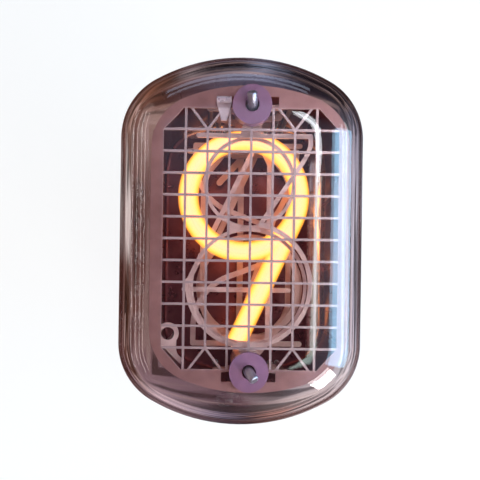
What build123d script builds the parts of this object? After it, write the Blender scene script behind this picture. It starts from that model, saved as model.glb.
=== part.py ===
from build123d import *
import os
from math import asin, atan2, cos, degrees, hypot, radians, sin, sqrt, tan

# Oblong end-view numeral tube standing on its pins, in millimetres.
# X runs to the reader's right, Y to the top of the numerals, Z out through the window.

# Glass envelope
bulb_width = 20.5
bulb_length = 31.0
bulb_end_radius = 15.0
bulb_corner_radius = 5.6
bulb_height = 27.0
shoulder_radius = 3.5
glass_wall = 0.9

# Moulded glass base and its sealed pumping stem
base_thickness = 3.0
base_edge_radius = 1.2
bead_radius = 1.25
bead_tip_radius = 0.75
outer_bead_height = 0.9
inner_bead_height = 0.6
stem_radius = 1.7
stem_foot_radius = 2.7
stem_bore_radius = 0.8
stem_length = 4.6
stem_foot_height = 1.0
stem_neck_share = 0.45
stem_tip_radius = 0.9

# Pins: one at each end and a straight row down each side
pin_radius = 0.5
pin_reach = 6.0
pin_tip_bevel = 0.2
seal_wire_radius = 0.3
seal_wire_reach = 1.3
pins_per_side = 5
pin_pitch = 4.0
pin_row_x = 6.4
end_pin_y = 11.5

# Electrode stack, which sits a little off the middle of the bulb
stack_x = 0.8
stack_y = 0.2
stack_width = 16.8
stack_length = 26.0
stack_end_radius = 15.0
stack_corner_radius = 4.5
grid_depth = 3.4
rod_y = 11.15
rod_radius = 0.42
hole_clearance = 0.1

# Etched grid
grid_thickness = 0.2
grid_pitch = 1.85
grid_columns = 8
grid_rows = 10
grid_line = 0.2
truss_height = 1.8
truss_spread = 1.5
slot_width = 4.6
slot_height = 0.85
slot_bar = 0.18

# Anode shell
shell_wall = 0.25
shell_corner = 0.35
lead_hole_clearance = 0.12

# Cathodes and ceramics
cathode_thickness = 0.2
cathode_pitch = 0.9
front_gap = 0.8
rear_gap = 0.9
ear_radius = 1.3
neck_width = 0.9
neck_flare = 1.9
spacer_radius = 1.1
washer_radius = 1.65
washer_hole_radius = 0.6
washer_thickness = 0.8
numeral_half_height = 9.0

# Rod ends, bent over the front washers
tail_length = 0.5
tail_lean = 52.0
tail_bend_radius = 0.8
tail_edge_radius = 0.15
rod_rear_end = 0.5

# Leads from the cathodes down to the pins
lead_radius = 0.2
lead_row_y = 11.7
lead_first_x = 2.0
lead_step = 0.75
tab_width = 0.5
tab_end_radius = 0.35
lead_straight = 1.5
lead_bend_share = 0.45
lead_bend_limit = 6.0
anode_lead_radius = 0.3
anode_lead_y = 8.4

# Comma cathode
comma_x = -6.93
comma_y = -8.15
comma_radius = 0.95
comma_hole_radius = 0.56
comma_lead_drop = 0.72

# Small bent strap on the front of the grid, beside the upper washer
strap_x = -2.35
strap_width = 1.25
strap_toe_width = 0.45
strap_thickness = 0.12
strap_foot = 1.5
strap_drop = 1.2
strap_curl_radius = 0.32
strap_curl_sweep = 205.0

# Levels worked out from the sizes above
base_bottom = pin_reach
base_top = base_bottom + base_thickness
bulb_top = base_bottom + bulb_height
prong_top = base_bottom - outer_bead_height
pin_top = base_top + seal_wire_reach
grid_front = bulb_top - grid_depth
grid_back = grid_front - grid_thickness
first_cathode = grid_back - front_gap
cathode_gap = cathode_pitch - cathode_thickness

# Front to back. Each numeral's lead has a row, by its sides in X and Y, and a step out along it
cathode_order = [3, 8, 9, 4, 2, 5, 7, 0, 6, 1]
lead_places = {
    3: (1, 1, 2), 8: (-1, 1, 2), 9: (1, -1, 2), 4: (-1, -1, 1), 2: (1, 1, 1),
    5: (-1, 1, 1), 7: (1, -1, 1), 0: (1, 1, 0), 6: (-1, 1, 0), 1: (1, -1, 0),
}
lead_pin = {3: 2, 2: 3, 0: 4, 7: 5, 9: 6, 1: 7, 4: 9, 6: 10, 5: 11, 8: 12}
comma_pin = 8
anode_pin = 1

last_cathode = first_cathode - cathode_pitch * (len(cathode_order) - 1)
shell_floor = last_cathode - cathode_thickness - rear_gap
shell_bottom = shell_floor - shell_wall


def oblong(width, length, end_radius, corner_radius, inset=0.0):
    # straight sides and shallow end arcs, joined by corner arcs tangent to both
    half_width = width / 2 - inset
    corner = corner_radius - inset
    end = end_radius - inset
    end_centre = length / 2 - end_radius
    corner_x = half_width - corner
    corner_y = end_centre + sqrt((end - corner) ** 2 - corner_x ** 2)
    spread = degrees(atan2(corner_x, corner_y - end_centre))
    side = Line((half_width, -corner_y), (half_width, corner_y))
    turn = CenterArc((corner_x, corner_y), corner, 0, 90 - spread)
    cap = CenterArc((0, end_centre), end, 90 - spread, 2 * spread)
    edges = [side, turn, cap, mirror(side, Plane.YZ), mirror(turn, Plane.YZ)]
    edges += [mirror(edge, Plane.XZ) for edge in (turn, cap, mirror(turn, Plane.YZ))]
    return make_face(edges)


def bulb_plan(inset=0.0):
    return oblong(bulb_width, bulb_length, bulb_end_radius, bulb_corner_radius, inset)


def stack_plan(inset=0.0):
    return oblong(stack_width, stack_length, stack_end_radius, stack_corner_radius, inset)


def slab(plan, bottom, top):
    return Pos(0, 0, bottom) * extrude(plan, top - bottom)


def in_stack(solid):
    return Pos(stack_x, stack_y, 0) * solid


def envelope(inset):
    # upright walls and a flat window, joined by a rounded shoulder
    body = slab(bulb_plan(inset), base_top, bulb_top - inset)
    return fillet(body.edges().group_by(Axis.Z)[-1], shoulder_radius - inset)


def make_bulb():
    return envelope(0) - envelope(glass_wall)


def pin_places():
    # numbered round the oval from the top end
    span = pin_pitch * (pins_per_side - 1) / 2
    right = [(pin_row_x, span - pin_pitch * step) for step in range(pins_per_side)]
    left = [(-x, -y) for x, y in right]
    return [(0, end_pin_y)] + right + [(0, -end_pin_y)] + left


def bead(height):
    # glass drawn up round a pin where it is sealed in
    return Cone(bead_radius, bead_tip_radius, height, align=(Align.CENTER, Align.CENTER, Align.MIN))


def make_base():
    plate = slab(bulb_plan(), base_bottom, base_top)
    lower_edges = plate.edges().group_by(Axis.Z)[0]
    plate = fillet(lower_edges, base_edge_radius)
    for x, y in pin_places():
        plate += Pos(x, y, base_top) * bead(inner_bead_height)
        plate += Pos(x, y, base_bottom) * Rot(180, 0, 0) * bead(outer_bead_height)
    for x, y in pin_places():
        plate -= Pos(x, y, base_top) * Cylinder(seal_wire_radius, 4 * base_thickness)
    return plate - Pos(0, 0, base_top) * Cylinder(stem_bore_radius, 4 * base_thickness)


def make_stem():
    # drawn-down glass tube, melted shut at its tip
    tip = base_bottom - stem_length
    neck = base_bottom - stem_neck_share * stem_length
    ankle = base_bottom - stem_foot_height
    wall = stem_radius - stem_bore_radius
    outline = [
        Line((stem_bore_radius, base_bottom), (stem_foot_radius, base_bottom)),
        TangentArc((stem_foot_radius, base_bottom), (stem_radius, ankle), tangent=(-1, -0.3)),
        Line((stem_radius, ankle), (stem_radius, neck)),
        Line((stem_radius, neck), (stem_tip_radius, tip + stem_tip_radius)),
        CenterArc((0, tip + stem_tip_radius), stem_tip_radius, 0, -90),
        Line((0, tip), (0, neck - 2 * wall)),
        Line((0, neck - 2 * wall), (stem_bore_radius, neck)),
        Line((stem_bore_radius, neck), (stem_bore_radius, base_bottom)),
    ]
    return revolve(Plane.XZ * make_face(outline), Axis.Z)


def make_pin(x, y):
    # a stout prong below the glass, on the thinner wire that is sealed through it
    prong = slab(Circle(pin_radius), 0, prong_top)
    prong = chamfer(prong.edges().group_by(Axis.Z)[0], pin_tip_bevel)
    return Pos(x, y, 0) * (prong + slab(Circle(seal_wire_radius), prong_top, pin_top))


def stroke(path, width):
    return trace(path, line_width=width)


def dot(point, radius):
    return Pos(*point) * Circle(radius)


def bar(start, end, width):
    return stroke(Line(start, end), width)


def bend(points, width):
    # straight strokes with rounded corners and ends
    shape = dot(points[0], width / 2)
    for start, end in zip(points, points[1:]):
        shape += bar(start, end, width) + dot(end, width / 2)
    return shape


def ring(centre, radius, width):
    return Pos(*centre) * (Circle(radius + width / 2) - Circle(radius - width / 2))


def swoop(centre, radius, start, sweep, width):
    # part of a ring with rounded ends
    path = CenterArc(centre, radius, start, sweep)
    return stroke(path, width) + dot(path @ 0, width / 2) + dot(path @ 1, width / 2)


def three():
    width = 0.38
    bowl_radius = 5.3
    bowl_y = bowl_radius - numeral_half_height - 0.2
    top = numeral_half_height
    diagonal_foot = (0.9, bowl_y + sqrt(bowl_radius ** 2 - 0.9 ** 2))
    shoulder = [(5.2, top), (5.2, top - 0.8), (4.95, top - 1.5), (4.5, top - 2.3)]
    flag = bend([(-4.5, top), *shoulder, diagonal_foot], width)
    return flag + swoop((0, bowl_y), bowl_radius, 80, -264, width)


def eight():
    width = 0.3
    upper_radius = 3.9
    lower_radius = 5.0
    upper_y = numeral_half_height - upper_radius
    lower_y = lower_radius - numeral_half_height
    upper = ring((0, upper_y), upper_radius, width)
    lower = ring((0, lower_y), lower_radius, width)
    waist_y = (upper_y - upper_radius + lower_y + lower_radius) / 2
    web = Pos(0, waist_y) * Rectangle(3.4, 1.0)
    web -= dot((0, upper_y), upper_radius)
    web -= dot((0, lower_y), lower_radius)
    return upper + lower + web


def nine(width=0.4):
    # a round loop with a straight tail tangent to its right side
    radius = 4.95
    loop_x = -0.45
    loop_y = numeral_half_height - radius
    tail_x = -1.15
    foot = -numeral_half_height - 0.45
    reach = hypot(loop_x - tail_x, loop_y - foot)
    slope = atan2(loop_y - foot, loop_x - tail_x) - asin(radius / reach)
    length = sqrt(reach ** 2 - radius ** 2)
    tail_end = (tail_x, foot)
    tail_top = (tail_x + length * cos(slope), foot + length * sin(slope))
    return ring((loop_x, loop_y), radius, width) + bend([tail_top, tail_end], width)


def six():
    return Rot(0, 0, 180) * nine(0.55)


def four():
    width = 0.45
    crossbar_y = -4.3
    stem_x = 1.92
    top = numeral_half_height
    slope = bend([(0.7, top), (-5.7, crossbar_y), (3.75, crossbar_y)], width)
    web = make_face(Polyline((0.7, top), (stem_x, top), (stem_x, 6.6), close=True))
    return slope + bend([(stem_x, top), (stem_x, -top)], width) + web


def zero():
    # straight sides, with the corners cut off in two steps
    width = 0.5
    corner = [(4.15, 5.9), (3.72, 7.0), (2.3, numeral_half_height - 0.2)]
    upper = [(-x, y) for x, y in corner] + corner[::-1]
    lower = [(-x, -y) for x, y in upper]
    return bend([*upper, *lower, upper[0]], width)


def two(width=0.5):
    # a flat-topped bowl that opens out, swings back and drops to the foot
    bowl = 4.8
    bowl_y = numeral_half_height - bowl
    opening = 7.1
    foot_x = -4.9
    foot = 5.0
    base_y = -numeral_half_height - 0.25
    brow_x = 2.3
    brow_y = numeral_half_height - 0.25
    temple = (3.75, numeral_half_height - 1.85)
    crown = [(-temple[0], temple[1]), (-brow_x, brow_y), (brow_x, brow_y), temple]
    cheek = ThreePointArc(temple, (4.55, 5.75), (bowl, bowl_y))
    flare = CenterArc((bowl - opening, bowl_y), opening, 0, -61)
    elbow_y = base_y + 1.5
    shoulder = CenterArc((foot_x + foot, elbow_y), foot, 180, -72)
    knot = Line(flare @ 1, shoulder @ 1)
    shape = bend(crown, width)
    for path in (cheek, flare, knot, shoulder):
        shape += stroke(path, width) + dot(path @ 1, width / 2)
    return shape + bend([(foot_x, elbow_y), (foot_x, base_y), (-foot_x, base_y)], width)


def five():
    return mirror(two(0.45), Plane.XZ)


def seven():
    width = 0.5
    top = numeral_half_height
    curve = ThreePointArc((4.75, top - 0.1), (4.1, 5.6), (2.64, 2.57))
    shape = bend([(-5.5, top - 0.1), (4.75, top - 0.1)], width) + stroke(curve, width)
    return shape + bend([(2.64, 2.57), (-1.0, -top)], width)


def one():
    width = 0.6
    top = numeral_half_height
    return bend([(-2.6, 6.4), (-0.45, top - 0.2), (-0.45, -top)], width)


def neck(side, foot_x):
    # spreads from the ear to the end of the numeral
    ear_y = side * rod_y
    foot_y = side * (numeral_half_height - 0.2)
    outline = Polyline(
        (-neck_width / 2, ear_y), (neck_width / 2, ear_y),
        (foot_x + neck_flare / 2, foot_y), (foot_x - neck_flare / 2, foot_y),
        close=True,
    )
    return make_face(outline) + dot((0, ear_y), ear_radius)


def lead_top(numeral):
    x_side, y_side, step = lead_places[numeral]
    return x_side * (lead_first_x + lead_step * step), y_side * lead_row_y


def lead_tab(numeral):
    x, y = lead_top(numeral)
    ear_y = rod_y if y > 0 else -rod_y
    return bar((0, ear_y), (x, y), tab_width) + dot((x, y), tab_end_radius)


numeral_plans = {
    3: three, 8: eight, 9: nine, 4: four, 2: two, 5: five, 7: seven, 0: zero, 6: six, 1: one,
}
neck_feet = {
    3: (0, 0), 8: (0, 0), 9: (0, -0.8), 4: (1.3, 1.5), 2: (0, 0),
    5: (0, 0), 7: (0, -0.9), 0: (0, 0), 6: (0.8, 0), 1: (-0.45, -0.45),
}


def cathode_front(place):
    return first_cathode - cathode_pitch * place


def make_numeral(numeral, place):
    # one etched sheet: figure, two necks with ears for the rods, and the lead's tab
    top_foot, bottom_foot = neck_feet[numeral]
    plan = numeral_plans[numeral]() + neck(1, top_foot) + neck(-1, bottom_foot) + lead_tab(numeral)
    for side in (1, -1):
        plan -= dot((0, side * rod_y), rod_radius + hole_clearance)
    front = cathode_front(place)
    return in_stack(slab(plan, front - cathode_thickness, front))


def make_comma():
    # a ring on a square shoulder with a curved tail
    tail = make_face([
        Line((-0.3, -comma_radius), (0.72, -comma_radius)),
        Line((0.72, -comma_radius), (0.72, -1.25)),
        ThreePointArc((0.72, -1.25), (0.86, -1.75), (1.3, -2.15)),
        Line((1.3, -2.15), (1.12, -2.65)),
        Line((1.12, -2.65), (-0.3, -1.25)),
        Line((-0.3, -1.25), (-0.3, -comma_radius)),
    ])
    shoulder = Pos(-0.06, -comma_radius / 2) * Rectangle(1.6, comma_radius)
    foot = Pos(-0.06, -comma_radius - 0.05) * Rectangle(1.6, 0.3)
    plan = Circle(comma_radius) + shoulder + foot + tail - Circle(comma_hole_radius)
    plan = Pos(comma_x, comma_y) * plan
    return in_stack(slab(plan, first_cathode - cathode_thickness, first_cathode))


def grid_window():
    # a long opening with its corners cut off
    half_width = grid_pitch * grid_columns / 2
    half_length = grid_pitch * grid_rows / 2
    tall = Rectangle(2 * (half_width - grid_pitch + grid_line), 2 * (half_length + truss_height))
    wide = Rectangle(2 * half_width, 2 * half_length)
    return make_hull((tall + wide).edges())


def grid_bars():
    half_length = grid_pitch * grid_rows / 2
    border = half_length + truss_height + slot_bar
    bars = Sketch()
    for column in range(1, grid_columns):
        x = grid_pitch * (column - grid_columns / 2)
        reach = half_length if column in (2, grid_columns - 2) else border
        bars += bar((x, -reach), (x, reach), grid_line)
    for row in range(grid_rows + 1):
        y = grid_pitch * (row - grid_rows / 2)
        width = grid_pitch * grid_columns
        bars += bar((-width / 2, y), (width / 2, y), grid_line)
    for side in (1, -1):
        for x in (-2 * grid_pitch, 2 * grid_pitch):
            for spread in (-truss_spread, truss_spread):
                bars += bar((x, side * half_length), (x + spread, side * border), grid_line)
    return bars


def make_grid():
    plan = stack_plan() - grid_window() + (grid_bars() & stack_plan(shell_wall))
    slot_y = grid_pitch * grid_rows / 2 + truss_height + slot_bar + slot_height / 2
    for side in (1, -1):
        plan -= Pos(0, side * slot_y) * Rectangle(slot_width, slot_height)
        plan += dot((0, side * rod_y), ear_radius)
        plan -= dot((0, side * rod_y), rod_radius + hole_clearance)
    return in_stack(slab(plan, grid_back, grid_front))


def make_shell():
    # drawn cup, open towards the window, with holes for the rods and the leads
    outer = slab(stack_plan(), shell_bottom, grid_back)
    outer = fillet(outer.edges().group_by(Axis.Z)[0], shell_corner + shell_wall)
    inner = slab(stack_plan(shell_wall), shell_floor, grid_back)
    inner = fillet(inner.edges().group_by(Axis.Z)[0], shell_corner)
    cup = outer - inner
    depth = 4 * shell_wall
    for side in (1, -1):
        cup -= Pos(0, side * rod_y, shell_floor) * Cylinder(rod_radius + hole_clearance, depth)
    room = lead_radius + lead_hole_clearance
    places = [lead_top(numeral) for numeral in cathode_order] + [(comma_x, comma_y - comma_lead_drop)]
    for x, y in places:
        cup -= Pos(x, y, shell_floor) * Cylinder(room, depth)
    return in_stack(cup)


def tube_ring(radius, hole_radius, bottom, top):
    return slab(Circle(radius) - Circle(hole_radius), bottom, top)


def make_washer(side, bottom):
    ring_solid = tube_ring(washer_radius, washer_hole_radius, bottom, bottom + washer_thickness)
    return in_stack(Pos(0, side * rod_y, 0) * ring_solid)


def make_spacers(side):
    # one behind the grid, one between each two cathodes, one on the shell's floor
    hole = rod_radius + hole_clearance
    rings = [tube_ring(spacer_radius, hole, first_cathode, grid_back)]
    for place in range(1, len(cathode_order)):
        level = cathode_front(place)
        rings.append(tube_ring(spacer_radius, hole, level, level + cathode_gap))
    rings.append(tube_ring(spacer_radius, hole, shell_floor, shell_floor + rear_gap))
    return [in_stack(Pos(0, side * rod_y, 0) * solid) for solid in rings]


def make_rod(side, tail_angle):
    # a wire through the whole stack, its front end bent over the washer's rim
    rear = shell_bottom - washer_thickness - rod_rear_end
    front = grid_front + washer_thickness
    shaft = Line((0, rear), (0, front))
    turn = CenterArc((tail_bend_radius, front), tail_bend_radius, 180, -tail_lean)
    tail = Line(turn @ 1, turn @ 1 + tail_length * (turn % 1))
    path = Plane.XZ * Wire([shaft, turn, tail])
    rod = sweep(Plane(origin=path @ 0, z_dir=path % 0) * Circle(rod_radius), path=path)
    tip = rod.faces().sort_by_distance(path @ 1)[0]
    rod = fillet(tip.edges(), tail_edge_radius)
    return in_stack(Pos(0, side * rod_y, 0) * Rot(0, 0, tail_angle) * rod)


def wire(points, radius):
    # a round wire along straight runs joined by tangent arcs that keep within their share of a run
    points = [Vector(*point) for point in points]
    radii = []
    for before, corner, after in zip(points, points[1:], points[2:]):
        turn = (corner - before).get_angle(after - corner)
        run = min((corner - before).length, (after - corner).length)
        room = min(lead_bend_share * run, 2 * lead_bend_share * lead_straight)
        radii.append(min(room / tan(radians(turn / 2)), lead_bend_limit * run))
    path = FilletPolyline(*points, radius=radii)
    section = Plane(origin=path @ 0, z_dir=path % 0) * Circle(radius)
    return sweep(section, path=path)


def lead(x, y, top, pin_number, radius=lead_radius):
    pin_x, pin_y = pin_places()[pin_number - 1]
    start_x = stack_x + x
    start_y = stack_y + y
    points = [
        (start_x, start_y, top),
        (start_x, start_y, shell_bottom - lead_straight),
        (pin_x, pin_y, pin_top + lead_straight),
        (pin_x, pin_y, pin_top),
    ]
    return wire(points, radius)


def numeral_lead(numeral, place):
    x, y = lead_top(numeral)
    return lead(x, y, cathode_front(place) - cathode_thickness, lead_pin[numeral])


def comma_lead():
    return lead(comma_x, comma_y - comma_lead_drop, first_cathode - cathode_thickness, comma_pin)


def anode_lead():
    return lead(-stack_x, anode_lead_y, shell_bottom, anode_pin, anode_lead_radius)


def make_strap():
    # a strip lying on the grid: a foot that widens, and an end curled up and over
    middle = strap_curl_radius + strap_thickness / 2
    curl = CenterArc((strap_foot, strap_thickness + strap_curl_radius), middle, -90, strap_curl_sweep)
    roll = extrude(Plane.YZ * stroke(curl, strap_thickness), strap_width / 2, both=True)
    toe = strap_toe_width / 2
    half = strap_width / 2
    foot = make_face(Polyline((-toe, 0), (toe, 0), (half, strap_foot), (-half, strap_foot), close=True))
    strip = roll + slab(foot, 0, strap_thickness)
    return in_stack(Pos(strap_x, rod_y - strap_drop, grid_front) * strip)


def save(name, solid):
    solid.label = name
    export_step(solid, f"parts/{name}.step")


os.makedirs("parts", exist_ok=True)
save("glass_bulb", make_bulb())
save("glass_base", make_base())
save("exhaust_tip", make_stem())
for number, place in enumerate(pin_places(), start=1):
    save(f"pin_{number}", make_pin(*place))
save("anode_grid", make_grid())
save("anode_shell", make_shell())
for place, numeral in enumerate(cathode_order):
    save(f"digit_{numeral}", make_numeral(numeral, place))
    save(f"lead_{numeral}", numeral_lead(numeral, place))
save("comma_cathode", make_comma())
save("comma_lead", comma_lead())
save("anode_lead", anode_lead())
for label, side, tail_angle in (("upper", 1, 100), ("lower", -1, -52)):
    save(f"{label}_rod", make_rod(side, tail_angle))
    save(f"{label}_front_washer", make_washer(side, grid_front))
    save(f"{label}_rear_washer", make_washer(side, shell_bottom - washer_thickness))
    save(f"{label}_spacers", Compound(children=make_spacers(side)))
save("grid_strap", make_strap())
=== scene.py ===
from math import acos, atan2, cos, hypot, pi, radians, sin, sqrt

import bmesh
import bpy
from mathutils import Matrix, Vector


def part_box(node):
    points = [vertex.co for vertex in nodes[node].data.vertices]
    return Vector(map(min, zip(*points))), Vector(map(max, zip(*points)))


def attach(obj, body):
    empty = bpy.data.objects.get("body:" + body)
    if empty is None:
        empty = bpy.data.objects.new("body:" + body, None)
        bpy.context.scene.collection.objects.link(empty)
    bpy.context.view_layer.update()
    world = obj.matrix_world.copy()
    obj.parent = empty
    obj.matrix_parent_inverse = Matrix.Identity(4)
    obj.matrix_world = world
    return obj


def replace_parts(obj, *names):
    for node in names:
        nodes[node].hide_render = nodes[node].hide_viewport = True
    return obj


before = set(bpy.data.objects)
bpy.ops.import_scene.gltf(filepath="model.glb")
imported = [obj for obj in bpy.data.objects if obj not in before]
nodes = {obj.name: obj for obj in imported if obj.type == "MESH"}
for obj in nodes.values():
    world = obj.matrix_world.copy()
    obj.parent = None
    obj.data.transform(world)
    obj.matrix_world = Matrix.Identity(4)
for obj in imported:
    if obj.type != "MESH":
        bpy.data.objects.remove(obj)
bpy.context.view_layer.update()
mm = 0.001
print("frame loaded:", len(nodes), "nodes")


class Value:  # a socket whose sums can be written as plain Python
    def __init__(self, tree, socket):
        self.tree = tree
        self.socket = socket

    def sum(self, operation, first, second):
        node = self.tree.nodes.new("ShaderNodeMath")
        node.operation = operation
        for place, value in zip(node.inputs, (first, second)):
            plug(self.tree, place, value)
        return Value(self.tree, node.outputs[0])

    def __add__(self, other):
        return self.sum("ADD", self, other)

    def __radd__(self, other):
        return self.sum("ADD", other, self)

    def __sub__(self, other):
        return self.sum("SUBTRACT", self, other)

    def __rsub__(self, other):
        return self.sum("SUBTRACT", other, self)

    def __mul__(self, other):
        return self.sum("MULTIPLY", self, other)

    def __rmul__(self, other):
        return self.sum("MULTIPLY", other, self)

    def __truediv__(self, other):
        return self.sum("DIVIDE", self, other)

    def __rtruediv__(self, other):
        return self.sum("DIVIDE", other, self)

    def __abs__(self):
        return self.sum("ABSOLUTE", self, 0.0)


def plug(tree, place, value):  # a link, a colour or a number into a socket
    if isinstance(value, Value):
        tree.links.new(value.socket, place)
    elif isinstance(value, (tuple, list)) and len(value) == 3 and place.type == "RGBA":
        place.default_value = (*value, 1)
    else:
        place.default_value = value


class Finish:  # the nodes of a material, or of the room
    def __init__(self, name, room=None):
        self.owner = room or bpy.data.materials.new(name)
        self.owner.use_nodes = True
        self.tree = self.owner.node_tree
        self.tree.nodes.clear()
        self.output = "ShaderNodeOutputWorld" if room else "ShaderNodeOutputMaterial"

    def node(self, kind, settings=None, sockets=None, output=0):
        made = self.tree.nodes.new("ShaderNode" + kind)
        for name, value in (settings or {}).items():
            if name == "stops":
                self.setStops(made.color_ramp, value)
            else:
                setattr(made, name, value)
        for name, value in (sockets or {}).items():
            plug(self.tree, made.inputs[name], value)
        return Value(self.tree, made.outputs[output])

    def setStops(self, ramp, stops):
        while len(ramp.elements) < len(stops):
            ramp.elements.new(0.5)
        for element, (place, colour) in zip(ramp.elements, stops):
            element.position = place
            element.color = (*colour, 1) if isinstance(colour, tuple) else (colour, colour, colour, 1)

    def where(self):
        return self.node("TexCoord", output="Object")

    def noise(self, scale, detail, roughness, stretch=None):
        place = self.where()
        if stretch:
            place = self.node("Mapping", {}, {"Vector": place, "Scale": stretch})
        sockets = {"Vector": place, "Scale": scale, "Detail": detail, "Roughness": roughness}
        return self.node("TexNoise", {}, sockets)

    def ramp(self, value, *stops):
        return self.node("ValToRGB", {"stops": stops}, {"Fac": value})

    def blend(self, share, first, second, mode="MIX"):  # two colours, by Mix's own colour sockets
        settings = {"data_type": "RGBA", "blend_type": mode}
        return self.node("Mix", settings, {0: share, 6: first, 7: second}, 2)

    def larger(self, first, second):
        return self.node("Math", {"operation": "MAXIMUM"}, {0: first, 1: second})

    def bump(self, height, strength, distance):
        return self.node("Bump", {}, {"Height": height, "Strength": strength, "Distance": distance})

    def skin(self, sockets):
        return self.node("BsdfPrincipled", {}, sockets)

    def mixed(self, share, first, second):  # two shaders
        return self.node("MixShader", {}, {0: share, 1: first, 2: second})

    def parts(self, vector):  # its x, y and z
        first = self.node("SeparateXYZ", {}, {0: vector})
        return [Value(self.tree, output) for output in first.socket.node.outputs]

    def heading(self, x, y):  # which way a place lies, as a share of a turn from the left
        angle = self.node("Math", {"operation": "ARCTAN2"}, {0: y, 1: x})
        return angle / (2 * pi) + 0.5

    def rays(self, *kinds):  # 1 for any of these kinds of ray
        missed = 1
        for kind in kinds:
            missed = missed * (1 - self.node("LightPath", output=kind))
        return 1 - missed

    def finish(self, shader, volume=None):
        out = self.tree.nodes.new(self.output)
        self.tree.links.new(shader.socket, out.inputs["Surface"])
        if volume:
            self.tree.links.new(volume.socket, out.inputs["Volume"])
        return self.owner


def hex3(text):  # a written colour as linear light
    parts = [int(text[place:place + 2], 16) / 255 for place in (0, 2, 4)]
    return tuple(c / 12.92 if c <= 0.04045 else ((c + 0.055) / 1.055) ** 2.4 for c in parts)


def gridMiddle():
    low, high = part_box("anode_grid")
    return (low.x + high.x) / 2, (low.y + high.y) / 2


# The grid's opening, where its fine lines are painted paler than its frame, a painted sheen
opening = {  # each edge as shares of the span, measured from the grid's middle
    "span": 20 * mm, "slant": 1.1, "across": ((0.366, 1.0), (0.374, 0.0)),
    "along": ((0.545, 1.0), (0.56, 0.0)), "corner": ((0.865, 1.0), (0.875, 0.0)),
}


def gridOpening(finish):
    middle = gridMiddle()
    x, y, _ = finish.parts(finish.where())
    across = abs(x - middle[0])
    along = abs(y - middle[1])
    corner = across * opening["slant"] + along
    inside = 1
    for edge, distance in (("across", across), ("along", along), ("corner", corner)):
        inside = inside * finish.ramp(distance / opening["span"], *opening[edge])
    return inside


# The shell's floor sweeps up towards its right and upper sides, and carries a painted highlight there: a
# near-white, smoother band that mirrors the glow as a bright line
hollow = {
    "start": 2.2 * mm, "radius": 4.5 * mm,
    "riseSpan": 2 * mm, "rise": ((0.06, 0.0), (0.09, 1.0), (0.5, 1.0), (0.7, 0.0)),
    "sheenSpan": 2.5 * mm, "sheenAndPolish": ((0.08, 0.0), (0.2, 1.0), (0.82, 1.0), (0.84, 0.0)),
}


def nearEdge(finish):  # how far past the start of the hollow
    _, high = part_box("anode_shell")
    x, y, _ = finish.parts(finish.where())
    past = finish.larger(x - (high.x - hollow["start"]), y - (high.y - hollow["start"]))
    return finish.larger(past, 0.0)


def shellCornerSheen(finish):  # where the near-white painted highlight lies
    low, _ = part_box("anode_shell")
    _, _, z = finish.parts(finish.where())
    rise = finish.ramp((z - low.z) / hollow["riseSpan"], *hollow["rise"])
    return rise * finish.ramp(nearEdge(finish) / hollow["sheenSpan"], *hollow["sheenAndPolish"])


def shellHollow(finish):  # how high it sweeps
    past = nearEdge(finish)
    return past * past / (2 * hollow["radius"])


metalGrain = {  # noises as scale, detail and roughness
    "cloud": (260, 4, 0.55), "fine": (900, 5, 0.6), "cloudShare": 0.6, "shadeEdges": (0.32, 0.68),
    "roughEdges": (0.3, 0.7), "smoother": 0.08, "rougher": 0.12, "relief": 0.15, "depth": 0.02 * mm,
}


def makeMetal(name, light, dark, metallic, roughness, grain=(1, 1, 1), paintedSheen=None, sweep=None):
    finish = Finish(name)
    cloud = finish.noise(*metalGrain["cloud"])
    fine = finish.noise(*metalGrain["fine"], grain)
    share = metalGrain["cloudShare"]
    darkEdge, lightEdge = metalGrain["shadeEdges"]
    shade = finish.ramp(cloud * share + fine * (1 - share), (darkEdge, hex3(dark)), (lightEdge, hex3(light)))
    smoothEdge, roughEdge = metalGrain["roughEdges"]
    smoothest, roughest = roughness - metalGrain["smoother"], roughness + metalGrain["rougher"]
    rough = finish.ramp(fine, (smoothEdge, smoothest), (roughEdge, roughest))
    if paintedSheen:  # painted sheen: a patch painted brighter and made smoother
        place, tone, sheenAndPolish = paintedSheen
        mask = place(finish)
        shade = finish.blend(mask, shade, hex3(tone))
        rough = rough - mask * sheenAndPolish
    relief = finish.bump(fine, metalGrain["relief"], metalGrain["depth"])
    if sweep:
        sockets = {"Height": sweep(finish), "Strength": 1.0, "Distance": 1.0, "Normal": relief}
        relief = finish.node("Bump", {}, sockets)
    return finish.finish(finish.skin({
        "Base Color": shade, "Metallic": metallic, "Roughness": rough, "Normal": relief,
    }))


metals = {  # a grain below 1 along z runs in streaks, as drawing and bending leave it
    # the grid's a88e8c tone is a painted sheen on the fine lines of its opening
    "grid": makeMetal("etchedGrid", "946a66", "78524f", 0.6, 0.4, paintedSheen=(gridOpening, "a88e8c", 0.05)),
    # the shell's fff0e0 band is a painted highlight along its swept corner, so the glow mirrors there as a
    # bright orange line
    "shell": makeMetal(
        "drawnShell", "804e50", "603436", 0.95, 0.3, (1, 1, 0.08), (shellCornerSheen, "fff0e0", 0.22), shellHollow,
    ),
    "strap": makeMetal("softStrap", "dcc8ca", "b09a9e", 0.6, 0.3),
    "cathode": makeMetal("etchedCathode", "e2beb6", "c29a90", 0.5, 0.36),
    "rod": makeMetal("rodWire", "b9bcc8", "84848f", 0.9, 0.3, (1, 1, 0.1)),
    "lead": makeMetal("leadWire", "c4beb8", "938c88", 0.9, 0.34),
    "pin": makeMetal("tinnedPin", "d2d0ca", "a39f98", 0.9, 0.34, (1, 1, 0.15)),
}

# The mauve ceramic of the washers and spacers, with fine violet specks
mauve = {
    "dark": "664058", "light": "7a526c", "speck": "6d4568", "cloud": (500, 4, 0.6), "grit": (4200, 2, 0.5),
    "shadeEdges": (0.3, 0.7), "specks": ((0.6, 0.0), (0.72, 0.5)), "relief": 0.25, "depth": 0.02 * mm,
    "roughness": 0.45, "glaze": 0.15,
}


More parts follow.
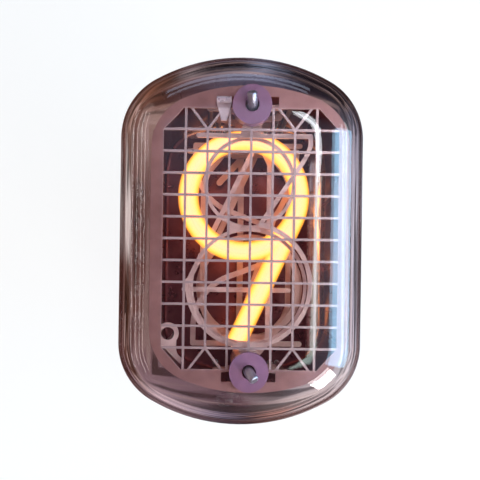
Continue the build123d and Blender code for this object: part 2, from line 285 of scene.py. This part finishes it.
def makeCeramic():
    finish = Finish("mauveCeramic")
    grit = finish.noise(*mauve["grit"])
    darkEdge, lightEdge = mauve["shadeEdges"]
    stops = (darkEdge, hex3(mauve["dark"])), (lightEdge, hex3(mauve["light"]))
    shade = finish.ramp(finish.noise(*mauve["cloud"]), *stops)
    shade = finish.blend(finish.ramp(grit, *mauve["specks"]), shade, hex3(mauve["speck"]))
    return finish.finish(finish.skin({
        "Base Color": shade, "Roughness": mauve["roughness"], "Coat Weight": mauve["glaze"],
        "Normal": finish.bump(grit, mauve["relief"], mauve["depth"]),
    }))


ceramic = makeCeramic()

# Smoky glass: the bulb is blown and smooth, the base is moulded and slightly uneven
glass = {
    "bend": 1.5,  # its index of refraction
    "shadowTint": (0.96, 0.96, 0.97),
    "bulb": {"name": "blownGlass", "smoke": (0.64, 0.42, 0.38), "density": 110, "roughness": 0.0},
    "base": {
        "name": "mouldedGlass", "smoke": (0.5, 0.33, 0.32), "density": 100, "roughness": 0.08,
        "ripple": 0.2, "rippleNoise": (60, 2, 0.4), "rippleDepth": 0.1 * mm,
    },
}


def makeGlass(look):
    finish = Finish(look["name"])
    sockets = {
        "Base Color": (1.0, 1.0, 1.0), "Roughness": look["roughness"], "IOR": glass["bend"],
        "Transmission Weight": 1.0,
    }
    if "ripple" in look:
        uneven = finish.noise(*look["rippleNoise"])
        sockets["Normal"] = finish.bump(uneven, look["ripple"], look["rippleDepth"])
    clear = finish.node("BsdfTransparent", {}, {"Color": glass["shadowTint"]})
    shadow = finish.node("LightPath", output="Is Shadow Ray")
    smoke = finish.node("VolumeAbsorption", {}, {"Color": look["smoke"], "Density": look["density"]})
    return finish.finish(finish.mixed(shadow, finish.skin(sockets), clear), smoke)


bulbGlass = makeGlass(glass["bulb"])
baseGlass = makeGlass(glass["base"])
print("finishes made")


def finishFor(name):
    if name.startswith("digit") or name == "comma_cathode":
        return metals["cathode"]
    if "washer" in name or "spacers" in name:
        return ceramic
    if name in ("grid_strap", "anode_grid", "anode_shell"):
        return metals[name.split("_")[1]]
    for kind in ("lead", "pin", "rod"):
        if kind in name.split("_"):
            return metals[kind]
    return baseGlass


for name in nodes:
    slots = nodes[name].data.materials
    slots.clear()
    slots.append(finishFor(name))
print("finishes put on")

# Blown bulb: the same oblong as its solid, with a smooth rounded shoulder
bulb = {
    "width": 20.5 * mm, "length": 31.0 * mm, "endRadius": 15.0 * mm, "cornerRadius": 5.6 * mm,
    "shoulder": 3.5 * mm, "reach": 4.9 * mm,  # down and inwards
    "wall": 0.9 * mm, "foot": 0.6 * mm,  # the glass thins towards its foot
    "seam": 0.02 * mm, "windowEdge": 0.2 * mm,
    "cornerSteps": 20, "endSteps": 20, "sideSteps": 12, "shoulderSteps": 16, "wallSteps": 6,
}


def oblongOutline(inset):
    halfWidth = bulb["width"] / 2 - inset
    corner = bulb["cornerRadius"] - inset
    end = bulb["endRadius"] - inset
    endCentre = bulb["length"] / 2 - bulb["endRadius"]
    cornerX = halfWidth - corner
    cornerY = endCentre + sqrt((end - corner) ** 2 - cornerX ** 2)
    spread = atan2(cornerX, cornerY - endCentre)
    points = []
    for step in range(bulb["sideSteps"]):
        points.append((halfWidth, -cornerY + 2 * cornerY * step / bulb["sideSteps"]))
    for step in range(bulb["cornerSteps"]):
        angle = (pi / 2 - spread) * step / bulb["cornerSteps"]
        points.append((cornerX + corner * cos(angle), cornerY + corner * sin(angle)))
    for step in range(bulb["endSteps"] // 2):
        angle = pi / 2 - spread + 2 * spread * step / bulb["endSteps"]
        points.append((end * cos(angle), endCentre + end * sin(angle)))
    top = [(0, endCentre + end)]
    upper = points[bulb["sideSteps"]:]
    right = points + top + [(-x, y) for x, y in reversed(upper)]
    left = [(-x, -y) for x, y in points[1:bulb["sideSteps"]]]
    bottom = [(-x, -y) for x, y in upper + top] + [(x, -y) for x, y in reversed(upper[1:])]
    return right + left + bottom


def bridge(mesh, first, second, flip=False):  # faces between two rings of points
    for place in range(len(first)):
        after = (place + 1) % len(first)
        face = [first[place], first[after], second[after], second[place]]
        mesh.faces.new(reversed(face) if flip else face)


def addShell(mesh, inset, bottom, top, inward):
    radius = bulb["shoulder"] - inset
    reach = bulb["reach"] - inset
    foot = min(inset, bulb["foot"])
    levels = []
    for step in range(bulb["wallSteps"]):
        share = step / bulb["wallSteps"]
        levels.append((foot + (inset - foot) * share, bottom + (top - radius - bottom) * share))
    for step in range(bulb["shoulderSteps"] + 1):
        angle = pi / 2 * step / bulb["shoulderSteps"]
        levels.append((inset + reach * (1 - cos(angle)), top - radius * (1 - sin(angle))))
    levels.append((inset + reach + bulb["windowEdge"], top))
    rings = [[mesh.verts.new((x, y, z)) for x, y in oblongOutline(depth)] for depth, z in levels]
    for lower, upper in zip(rings, rings[1:]):
        bridge(mesh, lower, upper, inward)
    mesh.faces.new(reversed(rings[-1]) if inward else rings[-1])
    return rings[0]


def newPiece(name, mesh, material):
    data = bpy.data.meshes.new(name)
    mesh.to_mesh(data)
    mesh.free()
    for face in data.polygons:
        face.use_smooth = True
    piece = bpy.data.objects.new(name, data)
    bpy.context.scene.collection.objects.link(piece)
    data.materials.append(material)
    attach(piece, "root")
    return piece


def makeBulb():
    low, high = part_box("glass_bulb")
    seam = low.z + bulb["seam"]
    mesh = bmesh.new()
    outer = addShell(mesh, 0, seam, high.z, False)
    inner = addShell(mesh, bulb["wall"], seam, high.z - bulb["wall"], True)
    bridge(mesh, inner, outer)
    bmesh.ops.recalc_face_normals(mesh, faces=mesh.faces)
    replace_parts(newPiece("blown_bulb", mesh, bulbGlass), "glass_bulb")


makeBulb()
print("bulb made")

# The neon glow that stands round the lit numeral
glow = {
    "centre": (-0.45 * mm, 4.05 * mm), "radius": 4.95 * mm, "tail": (-1.15 * mm, -9.45 * mm),
    "halfWidth": 0.95 * mm, "halfDepth": 0.62 * mm, "voxel": 0.12 * mm, "strength": 2.6,
    "loopSteps": 120, "tailSteps": 40, "aroundSteps": 16,
    "colours": (  # from the wire outwards
        (0.0, (1.0, 0.42, 0.22)), (0.45, (1.0, 0.42, 0.16)), (0.72, (1.0, 0.41, 0.06)),
        (1.0, (0.9, 0.3, 0.02)),
    ),
    "cover": ((0.0, 0.97), (0.62, 0.92), (0.85, 0.45), (1.0, 0.0)),
}


def makeGlowFinish():
    finish = Finish("neonGlow")
    edge = finish.node("Attribute", {"attribute_name": "spread"}, output="Fac")
    return finish.finish(finish.skin({
        "Base Color": (0, 0, 0), "Roughness": 1.0, "Specular IOR Level": 0.0,
        "Emission Color": finish.ramp(edge, *glow["colours"]), "Emission Strength": glow["strength"],
        "Alpha": finish.ramp(edge, *glow["cover"]),
    }))


def addTube(mesh, centres, sides, closed):
    half = glow["halfWidth"]
    rings = []
    for centre, side in zip(centres, sides):
        ring = []
        for step in range(glow["aroundSteps"]):
            angle = 2 * pi * step / glow["aroundSteps"]
            out = half * cos(angle)
            place = (centre[0] + side[0] * out, centre[1] + side[1] * out, half * sin(angle))
            ring.append(mesh.verts.new(place))
        rings.append(ring)
    for first, second in zip(rings, rings[1:] + (rings[:1] if closed else [])):
        bridge(mesh, first, second)
    if not closed:
        mesh.faces.new(rings[0])
        mesh.faces.new(reversed(rings[-1]))


def nearestToNine(x, y, loop, tail, touch):
    ring = abs(hypot(x - loop[0], y - loop[1]) - glow["radius"])
    run = (touch[0] - tail[0], touch[1] - tail[1])
    share = ((x - tail[0]) * run[0] + (y - tail[1]) * run[1]) / (run[0] ** 2 + run[1] ** 2)
    share = min(1, max(0, share))
    return min(ring, hypot(x - tail[0] - share * run[0], y - tail[1] - share * run[1]))


def makeGlow():
    middle = gridMiddle()
    low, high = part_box("digit_9")
    level = (low.z + high.z) / 2
    radius = glow["radius"]
    loop = (glow["centre"][0] + middle[0], glow["centre"][1] + middle[1])
    tail = (glow["tail"][0] + middle[0], glow["tail"][1] + middle[1])
    reach = hypot(loop[0] - tail[0], loop[1] - tail[1])
    slope = atan2(loop[1] - tail[1], loop[0] - tail[0]) - (pi / 2 - acos(radius / reach))
    length = sqrt(reach ** 2 - radius ** 2)
    touch = (tail[0] + length * cos(slope), tail[1] + length * sin(slope))  # where the tail meets the loop

    mesh = bmesh.new()
    turns = [2 * pi * step / glow["loopSteps"] for step in range(glow["loopSteps"])]
    centres = [(loop[0] + radius * cos(turn), loop[1] + radius * sin(turn)) for turn in turns]
    addTube(mesh, centres, [(cos(turn), sin(turn)) for turn in turns], True)
    shares = [step / glow["tailSteps"] for step in range(glow["tailSteps"] + 1)]
    run = (touch[0] - tail[0], touch[1] - tail[1])
    centres = [(tail[0] + run[0] * share, tail[1] + run[1] * share) for share in shares]
    addTube(mesh, centres, [(sin(slope), -cos(slope))] * len(shares), False)
    bmesh.ops.recalc_face_normals(mesh, faces=mesh.faces)

    finish = makeGlowFinish()
    piece = newPiece("neon_glow", mesh, finish)
    remesh = piece.modifiers.new("fuse", "REMESH")
    remesh.mode = "VOXEL"
    remesh.voxel_size = glow["voxel"]
    remesh.use_smooth_shade = True
    bpy.context.view_layer.update()
    fused = bpy.data.meshes.new_from_object(piece.evaluated_get(bpy.context.evaluated_depsgraph_get()))
    piece.modifiers.clear()
    piece.data = fused
    if not fused.materials:
        fused.materials.append(finish)
    spread = fused.attributes.new("spread", "FLOAT", "POINT")
    flat = glow["halfDepth"] / glow["halfWidth"]
    for vertex, item in zip(fused.vertices, spread.data):
        x, y, z = vertex.co
        item.value = min(1, nearestToNine(x, y, loop, tail, touch) / glow["halfWidth"])
        vertex.co.z = level + z * flat


makeGlow()
print("glow made")

# Painted reflections: tones painted on the floor for glass and metal only, which they pick up, from close to
# the bulb outwards.
# Stops run round by heading: 0 is left, 0.25 lower, 0.5 right and 0.75 upper.
nearTones = (
    (0.0, (0.24, 0.11, 0.105)), (0.13, (0.36, 0.23, 0.28)), (0.25, (0.2, 0.11, 0.15)),
    (0.37, (0.8, 0.68, 0.72)), (0.5, (0.3, 0.27, 0.36)), (0.62, (0.04, 0.032, 0.045)),
    (0.75, (0.2, 0.15, 0.22)), (0.87, (0.46, 0.3, 0.27)), (1.0, (0.24, 0.11, 0.105)),
)
middleTones = (
    (0.0, (0.15, 0.06, 0.055)), (0.15, (0.4, 0.28, 0.34)), (0.23, (0.05, 0.026, 0.034)),
    (0.27, (0.16, 0.06, 0.06)), (0.35, (1.0, 0.84, 0.84)), (0.5, (0.44, 0.54, 0.7)),
    (0.59, (0.05, 0.045, 0.065)), (0.66, (0.02, 0.016, 0.026)), (0.71, (0.16, 0.17, 0.28)),
    (0.76, (0.15, 0.15, 0.23)), (0.84, (0.2, 0.08, 0.052)), (1.0, (0.15, 0.06, 0.055)),
)
farTones = (
    (0.0, (0.15, 0.065, 0.05)), (0.1, (0.09, 0.034, 0.024)), (0.17, (0.8, 0.6, 0.68)),
    (0.235, (0.24, 0.2, 0.3)), (0.27, (0.07, 0.04, 0.05)), (0.3, (0.66, 0.34, 0.3)),
    (0.33, (0.75, 0.58, 0.6)), (0.42, (0.9, 0.82, 0.88)), (0.5, (0.7, 0.66, 0.8)),
    (0.56, (0.3, 0.29, 0.4)), (0.61, (0.012, 0.008, 0.012)), (0.695, (0.012, 0.009, 0.016)),
    (0.72, (0.26, 0.3, 0.44)), (0.745, (0.015, 0.012, 0.018)), (0.775, (0.02, 0.015, 0.02)),
    (0.795, (0.3, 0.24, 0.26)), (0.815, (0.08, 0.035, 0.025)), (0.85, (0.24, 0.095, 0.06)),
    (0.94, (0.34, 0.2, 0.16)), (1.0, (0.15, 0.065, 0.05)),
)
wallTones = (  # the same headings, round the walls of the room
    (0.0, (0.24, 0.11, 0.085)), (0.14, (0.38, 0.27, 0.3)), (0.25, (0.3, 0.22, 0.26)),
    (0.36, (1.0, 0.95, 0.97)), (0.5, (0.9, 0.95, 1.0)), (0.58, (0.3, 0.3, 0.38)),
    (0.63, (0.015, 0.01, 0.014)), (0.7, (0.02, 0.02, 0.03)), (0.74, (0.3, 0.33, 0.45)),
    (0.8, (0.14, 0.06, 0.045)), (0.9, (0.36, 0.21, 0.17)), (1.0, (0.24, 0.11, 0.085)),
)
surround = {  # lengths in millimetres
    "halfWidth": 10.25, "halfLength": 15.5, "straight": 8.0, "field": 50.0, "edgeSpan": 4.0,
    "closest": 2.0, "doublings": 10.0,  # distance counts in doublings of the closest
    "drift": (60.0, 2.0, 0.5), "driftTurn": 0.08,
    "toMiddle": ((0.3, 0.0), (0.35, 1.0)), "toFar": ((0.4, 0.0), (0.46, 1.0)),
    "farOff": ((0.36, 0.0), (0.46, 1.0)), "left": ((0.2, 1.0), (0.32, 0.0)),
    "lower": ((0.22, 0.0), (0.28, 1.0), (0.36, 1.0), (0.5, 0.0)), "lowerLeft": (0.07, 0.024, 0.014),
    "upper": ((0.5, 0.0), (0.58, 1.0), (0.82, 1.0), (0.92, 0.0)), "upperLeft": (0.8, 0.7, 0.68),
    "streakSize": (2.2, 5.0, 0.05), "streakDetail": 1.5, "darkStreaks": ((0.38, 0.15), (0.5, 1.0)),
    "paleStreaks": ((0.56, 0.0), (0.66, 0.7)), "paleStreak": (0.62, 0.43, 0.41),
    "paintedShadowEdge": ((0.4, 0.0), (0.6, 0.8)), "paintedShadow": (0.03, 0.016, 0.013),
    "paintedShadowRightEdge": ((0.68, 0.0), (0.72, 1.0)), "paintedShadowRight": (0.3, 0.2, 0.24),
}


def makeSurround(finish):
    x, y, _ = [part / mm for part in finish.parts(finish.where())]
    beside = finish.larger(abs(x) - surround["halfWidth"], abs(y) - surround["halfLength"])
    inside = 0.5 - beside / surround["edgeSpan"]
    away = finish.larger(beside, 0.0) + surround["closest"]
    doublings = finish.node("Math", {"operation": "LOGARITHM"}, {0: away, 1: 2.0})
    depth = doublings / surround["doublings"]
    held = finish.node("Clamp", {}, {"Value": y, "Min": -surround["straight"], "Max": surround["straight"]})
    turn = finish.heading(x, y - held)
    turn = turn + (finish.noise(*surround["drift"]) - 0.5) * surround["driftTurn"]
    near, middle, far = [finish.ramp(turn, *tones) for tones in (nearTones, middleTones, farTones)]
    colour = finish.blend(finish.ramp(depth, *surround["toMiddle"]), near, middle)
    colour = finish.blend(finish.ramp(depth, *surround["toFar"]), colour, far)

    fromLeft = x / surround["field"] + 0.5
    fromFoot = y / surround["field"] + 0.5
    farLeft = finish.ramp(fromLeft, *surround["left"]) * finish.ramp(depth, *surround["farOff"])
    for band in ("lower", "upper"):
        share = farLeft * finish.ramp(fromFoot, *surround[band])
        colour = finish.blend(share, colour, surround[band + "Left"])

    outwards, around, lengthwise = surround["streakSize"]
    sockets = {"X": doublings * outwards, "Y": turn * around, "Z": y * lengthwise}
    place = finish.node("CombineXYZ", {}, sockets)
    sockets = {"Vector": place, "Scale": 1.0, "Detail": surround["streakDetail"], "Roughness": 0.5}
    streak = finish.node("TexNoise", {}, sockets)
    # painted reflections: dark and pale streaks laid across the tones
    colour = finish.blend(1.0, colour, finish.ramp(streak, *surround["darkStreaks"]), "MULTIPLY")
    colour = finish.blend(finish.ramp(streak, *surround["paleStreaks"]), colour, surround["paleStreak"])
    # painted shadow: a dark tone inside the bulb's outline, lighter towards its right, which the glass shows
    # as shade at its foot
    rightShare = finish.ramp(fromLeft, *surround["paintedShadowRightEdge"])
    paintedShadow = finish.blend(rightShare, surround["paintedShadow"], surround["paintedShadowRight"])
    return finish.blend(finish.ramp(inside, *surround["paintedShadowEdge"]), colour, paintedShadow)


# Pale floor, white to the camera apart from the object's shadow; to glass and metal it shows painted
# reflection tones and a painted shadow beneath the bulb
floor = {"half": 2.0, "colour": (0.86, 0.86, 0.86), "roughness": 0.8, "whiteShare": 0.85}


def makeFloorPaint():
    finish = Finish("paleFloor")
    paint = finish.skin({"Base Color": floor["colour"], "Roughness": floor["roughness"]})
    white = finish.node("Emission", {}, {"Color": (1, 1, 1), "Strength": 1.0})
    tones = finish.node("Emission", {}, {"Color": makeSurround(finish), "Strength": 1.0})
    shown = finish.mixed(finish.rays("Is Camera Ray") * floor["whiteShare"], paint, white)
    return finish.finish(finish.mixed(finish.rays("Is Glossy Ray", "Is Transmission Ray"), shown, tones))


def makeFloor():
    half = floor["half"]
    data = bpy.data.meshes.new("floor")
    corners = [(-half, -half, 0), (half, -half, 0), (half, half, 0), (-half, half, 0)]
    data.from_pydata(corners, [], [(0, 1, 2, 3)])
    data.materials.append(makeFloorPaint())
    piece = bpy.data.objects.new("floor", data)
    bpy.context.scene.collection.objects.link(piece)


makeFloor()
print("floor laid")

# The room: white to the camera, toned walls and ceiling to glass and metal, plain light to the rest
room = {
    "ceiling": (0.16, 0.06, 0.085), "ceilingFrom": ((0.25, 0.0), (0.6, 1.0)),
    "pale": (0.36, 0.4, 0.58), "paleBand": ((0.1, 0.0), (0.22, 0.8), (0.34, 0.8), (0.46, 0.0)),
    "right": (0.4, 0.42, 0.6), "rightFrom": ((0.26, 0.0), (0.4, 1.0)), "rightTo": ((0.15, 1.0), (0.3, 0.0)),
    "left": (0.22, 0.09, 0.07), "leftFrom": ((0.3, 0.0), (0.5, 1.0)),
    "light": (0.8, 0.83, 0.9), "strength": 0.35,
}


def makeRoom():
    finish = Finish("room", bpy.data.worlds.new("room"))
    x, y, rise = finish.parts(finish.node("TexCoord", output="Generated"))
    walls = finish.ramp(finish.heading(x, y), *wallTones)
    above = finish.blend(finish.ramp(y, *room["paleBand"]), room["ceiling"], room["pale"])
    right = finish.ramp(x, *room["rightFrom"]) * finish.ramp(y, *room["rightTo"])
    above = finish.blend(right, above, room["right"])
    above = finish.blend(finish.ramp(0 - x, *room["leftFrom"]), above, room["left"])
    tones = finish.blend(finish.ramp(rise, *room["ceilingFrom"]), walls, above)
    colour = finish.blend(finish.rays("Is Camera Ray"), tones, (1.0, 1.0, 1.0))
    plain = finish.node("Background", {}, {"Color": room["light"], "Strength": room["strength"]})
    seen = finish.node("Background", {}, {"Color": colour, "Strength": 1.0})
    share = finish.rays("Is Camera Ray", "Is Glossy Ray", "Is Transmission Ray")
    bpy.context.scene.world = finish.finish(finish.mixed(share, plain, seen))


makeRoom()
print("room painted")

lampTarget = Vector((0, 0, 0.02))
lamps = {  # place, size, power, colour and the frame's own turn in degrees
    "windowLight": ((0.3, -0.02, 0.176), (0.28, 0.225), 1.65, (0.38, 0.7, 1.0), 0),
    "brightPane": ((0.33, 0.0, 0.12), (0.34, 0.035), 0.15, (0.95, 0.98, 1.0), 12),
    "highPane": ((0.108, 0.115, 0.36), (0.11, 0.035), 0.16, (0.9, 0.95, 1.0), 0),
    "veilPane": ((0.112, -0.02, 0.36), (0.2, 0.05), 0.13, (0.7, 0.92, 0.86), -4),
    "upperLight": ((0.0, 0.33, 0.17), (0.3, 0.035), 0.09, (0.7, 0.78, 1.0), 0),
    "sparkLight": ((0.172, -0.182, 0.145), (0.1, 0.09), 0.65, (1.0, 1.0, 1.0), 0),
    "leftLight": ((-0.36, 0.2, 0.2), (0.3, 0.12), 0.08, (1.0, 0.8, 0.74), 0),
    "leftStrip": ((-0.3, 0.0, 0.2), (0.5, 0.012), 0.1, (1.0, 0.88, 0.84), 0),
    "lowLeftStrip": ((-0.34, 0.02, 0.08), (0.45, 0.01), 0.1, (1.0, 0.9, 0.88), 0),
}
for name, (place, size, power, colour, turn) in lamps.items():
    data = bpy.data.lights.new(name, "AREA")
    data.shape = "RECTANGLE"
    data.size, data.size_y = size
    data.energy = power
    data.color = colour
    lamp = bpy.data.objects.new(name, data)
    bpy.context.scene.collection.objects.link(lamp)
    lamp.location = place
    facing = (lampTarget - Vector(place)).to_track_quat("-Z", "Y")
    lamp.rotation_euler = (facing.to_matrix() @ Matrix.Rotation(radians(turn), 3, "Z")).to_euler()
    lamp.visible_camera = False
print("lamps hung:", len(lamps))

# Camera straight over the window, a little below and left of its middle
view = {
    "place": (-2.1 * mm, -4.14 * mm, 79.6 * mm), "lens": 44.1, "sensor": 36, "shift": (0.052, 0.104),
    "roll": radians(0.8), "nearest": 1 * mm,
    "bounces": 24,  # light goes to and fro in the bulb's wall, and fewer leave black edges
}
cameraData = bpy.data.cameras.new("camera")
cameraData.lens = view["lens"]
cameraData.sensor_width = view["sensor"]
cameraData.shift_x, cameraData.shift_y = view["shift"]
cameraData.clip_start = view["nearest"]
camera = bpy.data.objects.new("camera", cameraData)
bpy.context.scene.collection.objects.link(camera)
camera.location = view["place"]
camera.rotation_euler = (0, 0, view["roll"])
bpy.context.scene.camera = camera
bpy.context.scene.view_settings.view_transform = "Standard"
bpy.context.scene.cycles.max_bounces = view["bounces"]
bpy.context.scene.cycles.transmission_bounces = view["bounces"]
bpy.context.scene.cycles.glossy_bounces = view["bounces"]
bpy.context.scene.cycles.transparent_max_bounces = view["bounces"]
print("camera set")
